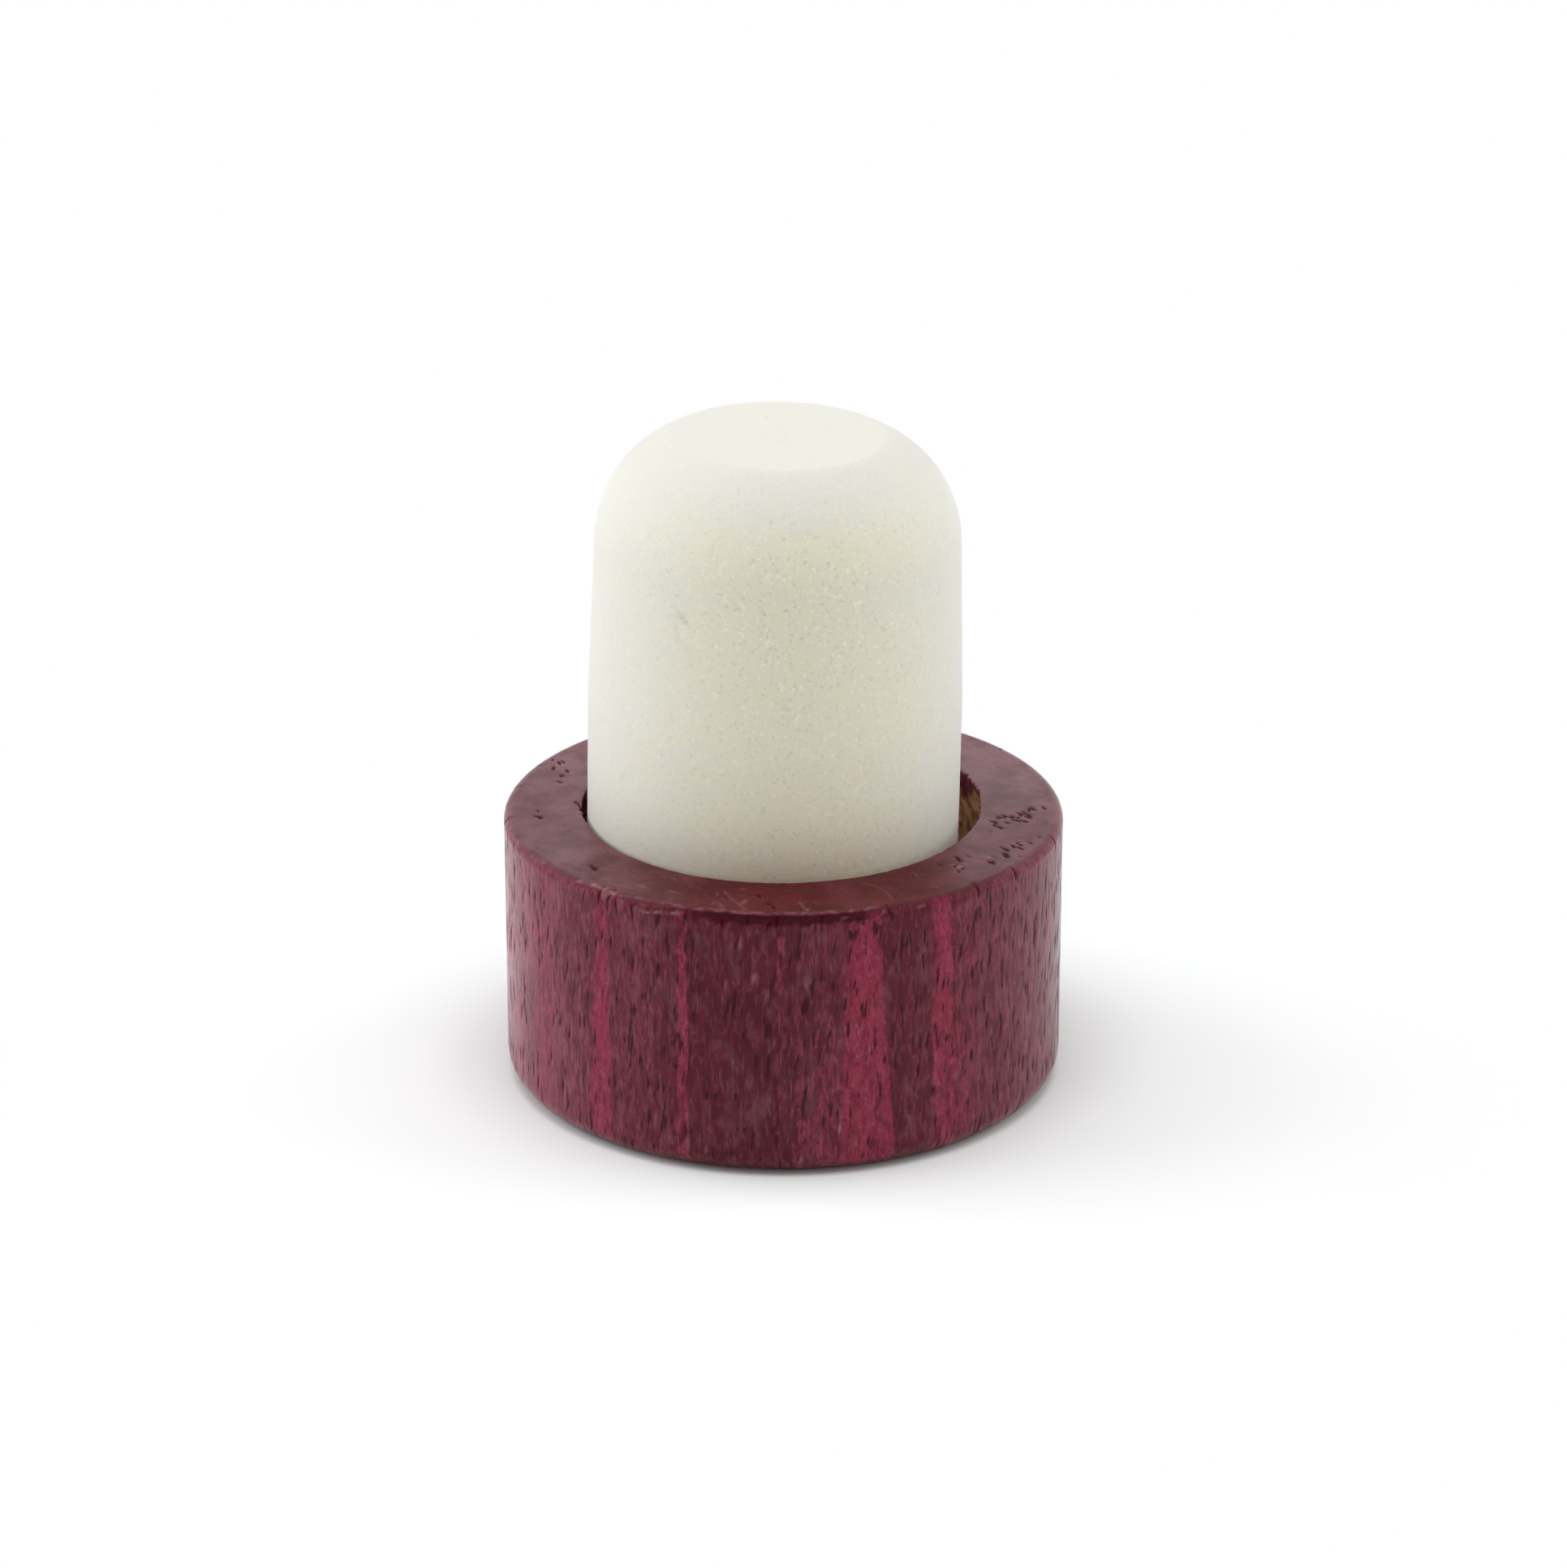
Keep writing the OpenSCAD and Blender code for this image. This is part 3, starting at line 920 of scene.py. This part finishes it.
class Graph:
    """The node tree of a material or a world, with a short method for each kind of step."""

    def __init__(self, owner):
        owner.use_nodes = True
        self.owner = owner
        self.nodes = owner.node_tree.nodes
        self.shader = self.nodes.get("Principled BSDF")

    def put(self, value, socket):
        """Sets a socket, or links another node's output to it."""
        if isinstance(value, bpy.types.NodeSocket):
            self.owner.node_tree.links.new(value, socket)
        else:
            socket.default_value = value

    def set_shader(self, inputs):
        """Sets or links the shader's own sockets."""
        for name, value in inputs.items():
            self.put(value, self.shader.inputs[name])

    def node(self, kind, inputs, output, **settings):
        """One output of a new node, whose inputs are set or linked by name or number."""
        made = self.nodes.new(kind)
        for name, setting in settings.items():
            setattr(made, name, setting)
        for key, value in inputs.items():
            self.put(value, made.inputs[key])
        return made.outputs[output]

    def attribute(self, name):
        return self.node("ShaderNodeAttribute", {}, "Fac", attribute_name=name)

    def place(self, stretch=(1, 1, 1), shift=(0, 0, 0)):
        """Object coordinates in millimetres, stretched and shifted."""
        corner = self.node("ShaderNodeTexCoord", {}, "Object")
        scale = [share / MM for share in stretch]
        inputs = {"Vector": corner, "Scale": scale, "Location": shift}
        return self.node("ShaderNodeMapping", inputs, "Vector")

    def noise(self, place, size, detail=2.0, roughness=0.5, distortion=0.0):
        """Noise from 0 to 1 with features of about that size in the place's millimetres."""
        inputs = {"Vector": place, "Scale": 1 / size, "Detail": detail, "Roughness": roughness}
        return self.node("ShaderNodeTexNoise", {**inputs, "Distortion": distortion}, "Fac")

    def ramp(self, value, low, high, first=0.0, last=1.0):
        """Maps low..high onto first..last, smoothly, and holds it there outside."""
        inputs = {"Value": value, "From Min": low, "From Max": high, "To Min": first, "To Max": last}
        return self.node("ShaderNodeMapRange", inputs, "Result", interpolation_type="SMOOTHSTEP")

    def math(self, operation, first, second):
        return self.node("ShaderNodeMath", {0: first, 1: second}, "Value", operation=operation)

    def times(self, first, second):
        return self.math("MULTIPLY", first, second)

    def plus(self, total, value, share):
        return self.math("ADD", total, self.times(value, share))

    def mix(self, share, first, second):
        """Two colours mixed by share. A mix node's colour sockets are told apart by number."""
        inputs = {"Factor": share, 6: first, 7: second}
        return self.node("ShaderNodeMix", inputs, 2, data_type="RGBA")

    def mix_shaders(self, share, first, second):
        return self.node("ShaderNodeMixShader", {"Fac": share, 1: first, 2: second}, "Shader")

    def bump(self, height, distance, strength, below=None):
        """The surface's direction with a bump map, over the bumps below it."""
        inputs = {"Height": height, "Distance": distance, "Strength": strength}
        if below is not None:
            inputs["Normal"] = below
        return self.node("ShaderNodeBump", inputs, "Normal")


DYE_DARK = colour("#4d0517")
DYE_LIGHT = colour("#5f1528")
# Thin, paler dye, partly painted sheen towards the side's edges and round the lip face's back
DYE_THIN_AND_SHEEN = colour("#8f465a")
DYE_THIN_RING_AND_SHEEN = colour("#754b53")
DYE_PALE = colour("#872344")
DYE_PALE_RED = colour("#87233d")
DYE_END_DARK = colour("#45060f")
DYE_END_LIGHT = colour("#520d18")
# Painted shade and shadow under the lip edge and round the flake, and darker dye down the recess
DYE_AND_SHADE_DARK = colour("#38000f")
PORE_DARK = colour("#33020b")
DASH_DARK = colour("#3c0711")
LIFTED_FIBRE = colour("#8f7579")
CURLED_FIBRE = colour("#ad5f78")
BARE_WOOD = colour("#d8ac88")
BARE_WOOD_DARK = colour("#9c6c4a")
# Pale wear, flecks and specks, and a painted highlight along the lip edge
PALE_WEAR_AND_HIGHLIGHT = colour("#b08088")
WOOD_ROUGHNESS = 0.14
WOOD_IOR = 1.26
SIDE_RELIEF = 0.02 * MM
END_RELIEF = 0.012 * MM


def side_pattern(g):
    """The noises that the dyed side is mixed from."""
    fibre = g.noise(g.place((1, 1, 1 / 5)), 0.2, 2.0, 0.55, 0.6)
    patch = g.noise(g.place((1, 1, 0.5), (9, 8, 5)), 0.4, 3.0, 0.6, 0.5)
    tone = g.noise(g.place((1, 1, 0.3), (9, 4, 2)), 2.8, 2.0)
    return fibre, patch, tone


def plain_dye(g, fibre, patch, tone):
    """The dye between the stripes: streaks and clouds, and a paler look where it is thin, partly painted
    sheen.
    """
    streak = g.plus(g.plus(g.times(fibre, 0.5), patch, 0.35), tone, 0.15)
    cloud = g.noise(g.place((1, 1, 0.4), (1, 12, 3)), 1.1, 2.0, 0.6)
    base = g.mix(g.ramp(streak, 0.4, 0.6), DYE_DARK, DYE_LIGHT)
    base = g.mix(g.ramp(cloud, 0.52, 0.72, 0.0, 0.12), base, LIFTED_FIBRE)
    base = g.mix(g.ramp(cloud, 0.46, 0.28, 0.0, 0.36), base, DASH_DARK)
    return g.mix(g.times(g.attribute("thin_dye_and_sheen"), g.ramp(streak, 0.38, 0.62, 0.6, 1.4)), base, DYE_THIN_AND_SHEEN)


def stripe_share(g, fibre, patch):
    """How much of the pinker stripe shows, with torn edges."""
    band = g.attribute("band")
    torn = g.plus(band, g.math("SUBTRACT", fibre, 0.5), 1.1)
    torn = g.plus(torn, g.math("SUBTRACT", patch, 0.5), 1.7)
    return g.times(g.ramp(torn, 0.12, 0.95), g.ramp(band, 0.02, 0.25))


def vessel_dashes(g, plain):
    """Vessels cut lengthways: short dashes, and longer ones that show best in thin dye."""
    short = g.noise(g.place((1, 1, 1 / 6), (13, 2, 9)), 0.15, 1.0, 0.5, 0.4)
    long = g.noise(g.place((1, 1, 1 / 8), (4, 17, 6)), 0.24, 1.0, 0.5, 0.5)
    short = g.times(g.ramp(short, 0.57, 0.72), plain)
    long = g.times(g.ramp(long, 0.6, 0.71, 0.0, 0.42), g.ramp(g.attribute("thin_dye_and_sheen"), 0.05, 0.35, 0.3, 1.0))
    return short, g.times(long, plain)


def dyed_side(g):
    """Short wavy fibres, dark dashes where vessels were cut, and pinker stripes with torn edges."""
    fibre, patch, tone = side_pattern(g)
    stripe = stripe_share(g, fibre, patch)
    plain = g.math("SUBTRACT", 1.0, g.times(stripe, 0.75))
    short_dash, long_dash = vessel_dashes(g, plain)
    lifted = g.math("MAXIMUM", g.ramp(fibre, 0.52, 0.8, 0.0, 0.2), g.ramp(patch, 0.52, 0.78, 0.0, 0.15))
    curl = g.noise(g.place((1, 1, 0.5), (3, 8, 14)), 0.24, 3.0, 0.6, 1.5)

    base = plain_dye(g, fibre, patch, tone)
    base = g.mix(stripe, base, g.mix(g.ramp(tone, 0.4, 0.6), DYE_PALE, DYE_PALE_RED))
    base = g.mix(lifted, base, LIFTED_FIBRE)
    base = g.mix(g.times(short_dash, 0.42), base, DASH_DARK)
    base = g.mix(long_dash, base, DASH_DARK)
    base = g.mix(g.times(stripe, g.ramp(curl, 0.54, 0.7, 0.0, 0.4)), base, CURLED_FIBRE)
    return base, g.math("SUBTRACT", g.plus(fibre, patch, 0.6), short_dash)


def dyed_end(g):
    """Browner, and even but for a fine stipple."""
    stipple = g.noise(g.place((1, 1, 1), (2, 5, 1)), 0.16, 2.0, 0.6)
    tone = g.noise(g.place((1, 1, 1), (9, 4, 2)), 1.6, 3.0)
    base = g.mix(g.ramp(tone, 0.38, 0.62), DYE_END_DARK, DYE_END_LIGHT)
    # Paler where the dye is thin, partly painted reflection round the back
    base = g.mix(g.times(g.attribute("thin_dye_and_sheen"), g.ramp(tone, 0.35, 0.65, 0.65, 1.35)), base, DYE_THIN_RING_AND_SHEEN)
    base = g.mix(g.ramp(stipple, 0.56, 0.75, 0.0, 0.13), base, LIFTED_FIBRE)
    return g.mix(g.ramp(stipple, 0.44, 0.3, 0.0, 0.35), base, PORE_DARK), stipple


def wood_roughness(g, side_relief, end_grain):
    """Lacquered, and duller in pores, painted shade and pooled dye, bare wood and well dyed end grain."""
    rough = g.plus(WOOD_ROUGHNESS, side_relief, 0.06)
    for field, share in (("bare", 0.45), ("pore", 0.6), ("dye_and_shade", 0.4)):
        rough = g.plus(rough, g.attribute(field), share)
    return g.plus(rough, g.times(end_grain, g.math("SUBTRACT", 1.0, g.attribute("thin_dye_and_sheen"))), 0.22)


def stained_wood():
    g = Graph(bpy.data.materials.new("stained_wood"))
    end_grain = g.attribute("end_grain")
    side, side_relief = dyed_side(g)
    end, end_relief = dyed_end(g)
    base = g.mix(end_grain, side, end)
    base = g.mix(g.ramp(g.attribute("pore"), 0.15, 0.65, 0.0, 0.9), base, PORE_DARK)
    # Painted shade and shadow under the lip edge and round the flake, and darker dye in the recess
    base = g.mix(g.attribute("dye_and_shade"), base, DYE_AND_SHADE_DARK)
    drilled = g.mix(g.ramp(g.noise(g.place(), 0.7, 3.0), 0.42, 0.62), BARE_WOOD, BARE_WOOD_DARK)
    base = g.mix(g.attribute("bare"), base, drilled)
    # Pale wear, flecks and specks, and a painted highlight along the lip edge
    base = g.mix(g.attribute("wear_and_highlight"), base, PALE_WEAR_AND_HIGHLIGHT)
    upright = g.times(side_relief, g.math("SUBTRACT", 1.0, end_grain))
    relief = g.bump(upright, SIDE_RELIEF, 0.5)
    relief = g.bump(g.times(end_relief, end_grain), END_RELIEF, 0.5, relief)
    rough = wood_roughness(g, side_relief, end_grain)
    g.set_shader({"Base Color": base, "Roughness": rough, "IOR": WOOD_IOR, "Normal": relief})
    return g.owner


FOAM = colour("#dadad2")
# A warmer cream, painted as shade on the front
FOAM_WARM_SHADE = colour("#e1dcc7")
FOAM_DARK = colour("#b7af98")
FOAM_LIGHT = colour("#f0eee4")
SCUFF_GREY = colour("#a3a89b")
FOAM_SETTINGS = {"Roughness": 0.72, "IOR": 1.4, "Sheen Weight": 0.55, "Sheen Roughness": 0.5}
FOAM_GRAIN_RELIEF = 0.033 * MM
FOAM_LUMP_RELIEF = 0.03 * MM


def cork_foam():
    g = Graph(bpy.data.materials.new("cork_foam"))
    place = g.place()
    mottle = g.noise(place, 1.3, 3.0)
    speckle = g.noise(place, 0.23, 2.0, 0.6)
    fleck = g.noise(g.place((1, 1, 1), (17, 3, 8)), 0.25, 1.0)
    grainy = g.attribute("grainy")
    # Warm shade painted on the front, broken by mottle
    warm_shade = g.math("ADD", g.attribute("warm_shade"), g.math("SUBTRACT", mottle, 0.5))
    base = g.mix(warm_shade, FOAM, FOAM_WARM_SHADE)
    base = g.mix(g.times(grainy, g.ramp(speckle, 0.55, 0.75, 0.0, 0.56)), base, FOAM_DARK)
    base = g.mix(g.times(grainy, g.ramp(fleck, 0.58, 0.74, 0.0, 0.66)), base, FOAM_LIGHT)
    base = g.mix(g.times(g.attribute("pit"), 0.25), base, FOAM_DARK)
    base = g.mix(g.times(g.attribute("scuff"), 0.6), base, SCUFF_GREY)
    relief = g.bump(g.times(speckle, grainy), FOAM_GRAIN_RELIEF, 0.6)
    relief = g.bump(g.noise(place, 0.45, 2.0), FOAM_LUMP_RELIEF, 0.4, relief)
    g.set_shader({"Base Color": base, "Normal": relief, **FOAM_SETTINGS})
    return g.owner


# ---- stage, lights and camera

# The floor's half size in metres, and how far out it fades into the background
FLOOR_REACH = 1.5
FLOOR_COLOUR = (0.925, 0.95, 0.965, 1)
FLOOR_ROUGHNESS = 0.9
FADE_START = 20 * MM
FADE_END = 42 * MM

AMBIENT_COLOUR = (1.0, 0.96, 0.9, 1.0)
AMBIENT_STRENGTH = 0.445
WHITE = (1, 1, 1, 1)


def seen_as_background(g):
    """1 for the camera, mirror rays and rays through glass, which all show the white background."""
    total = g.node("ShaderNodeLightPath", {}, "Is Camera Ray")
    for name in ("Is Glossy Ray", "Is Transmission Ray"):
        total = g.math("MAXIMUM", total, g.node("ShaderNodeLightPath", {}, name))
    return total


def add_world():
    """Soft warm light from all round, that the camera sees as plain white."""
    g = Graph(bpy.data.worlds.new("studio"))
    g.nodes.clear()
    glows = [
        g.node("ShaderNodeBackground", {"Color": tint, "Strength": strength}, "Background")
        for tint, strength in ((AMBIENT_COLOUR, AMBIENT_STRENGTH), (WHITE, 1.0))
    ]
    shown = g.mix_shaders(seen_as_background(g), *glows)
    g.put(shown, g.nodes.new("ShaderNodeOutputWorld").inputs["Surface"])
    bpy.context.scene.world = g.owner


def add_floor():
    """A pale floor that takes the shadow and fades into the white background further out."""
    mesh = bpy.data.meshes.new("floor")
    corners = [(x * FLOOR_REACH, y * FLOOR_REACH, 0) for x, y in ((-1, -1), (1, -1), (1, 1), (-1, 1))]
    mesh.from_pydata(corners, [], [(0, 1, 2, 3)])
    g = Graph(bpy.data.materials.new("floor_paint"))
    g.set_shader({"Base Color": FLOOR_COLOUR, "Roughness": FLOOR_ROUGHNESS, "Specular IOR Level": 0.0})
    place = g.node("ShaderNodeTexCoord", {}, "Object")
    reach = g.node("ShaderNodeVectorMath", {0: place}, "Value", operation="LENGTH")
    faded = g.times(g.ramp(reach, FADE_START, FADE_END), seen_as_background(g))
    shown = g.mix_shaders(faded, g.shader.outputs["BSDF"], g.node("ShaderNodeEmission", {}, "Emission"))
    g.put(shown, g.nodes["Material Output"].inputs["Surface"])
    mesh.materials.append(g.owner)
    add_object("floor", mesh)


LAMP_TINT = (0.98, 0.99, 1.0)
LAMP_DISTANCE = 0.6

# Area lamps: name, azimuth and elevation in degrees, size in metres, and power in watts
SOFTBOXES = [
    ("lamp_top", 0, 85, 0.45, 1.87),
    ("lamp_left", -100, 25, 0.5, 2.05),
    ("lamp_right", 100, 25, 0.5, 1.28),
]


def way_to(azimuth, elevation):
    """The direction with that azimuth, from -Y towards +X, and elevation, in degrees."""
    around, up = math.radians(azimuth), math.radians(elevation)
    return Vector((math.sin(around) * math.cos(up), -math.cos(around) * math.cos(up), math.sin(up)))


def add_lamps(target):
    """The softboxes, aimed at the middle of the object. Mirror rays don't see them."""
    for name, azimuth, elevation, size, power in SOFTBOXES:
        lamp = bpy.data.lights.new(name, "AREA")
        lamp.size = size
        lamp.energy = power
        lamp.color = LAMP_TINT
        made = add_object(name, lamp)
        back = way_to(azimuth, elevation)
        made.location = target + back * LAMP_DISTANCE
        made.rotation_euler = back.to_track_quat("Z", "Y").to_euler()
        made.visible_glossy = False


# The camera fitted to the photo. It stands this far from the pivot, and aims a little above it
CAMERA_PIVOT = Vector((0, 0, 14 * MM))
CAMERA_DISTANCE = 300 * MM
CAMERA_ELEVATION = 22.27
CAMERA_AIM_HEIGHT = 15.83 * MM
CAMERA_LENS = 130.63
CAMERA_SENSOR = 36
CAMERA_NEAR = 10 * MM
CAMERA_FAR = 10.0


def add_camera():
    """A long lens that looks down at the stopper at the photo's own angle."""
    data = bpy.data.cameras.new("camera")
    data.lens = CAMERA_LENS
    data.sensor_width = CAMERA_SENSOR
    data.sensor_fit = "HORIZONTAL"
    data.clip_start = CAMERA_NEAR
    data.clip_end = CAMERA_FAR
    camera = add_object("camera", data)
    camera.location = CAMERA_PIVOT + way_to(0, CAMERA_ELEVATION) * CAMERA_DISTANCE
    look = Vector((0, 0, CAMERA_AIM_HEIGHT)) - camera.location
    camera.rotation_euler = look.to_track_quat("-Z", "Y").to_euler()
    bpy.context.scene.camera = camera


# ---- the scene

head = build_head()
head.data.materials.append(stained_wood())
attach(head, "root")
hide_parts("wood_head")

shank = build_shank()
shank.data.materials.append(cork_foam())
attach(shank, "root")
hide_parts("cork_shank")

add_world()
add_floor()
add_lamps(Vector((0, 0, (cad_low.z + cad_high.z) / 2)))
add_camera()
bpy.context.scene.view_settings.view_transform = "Standard"
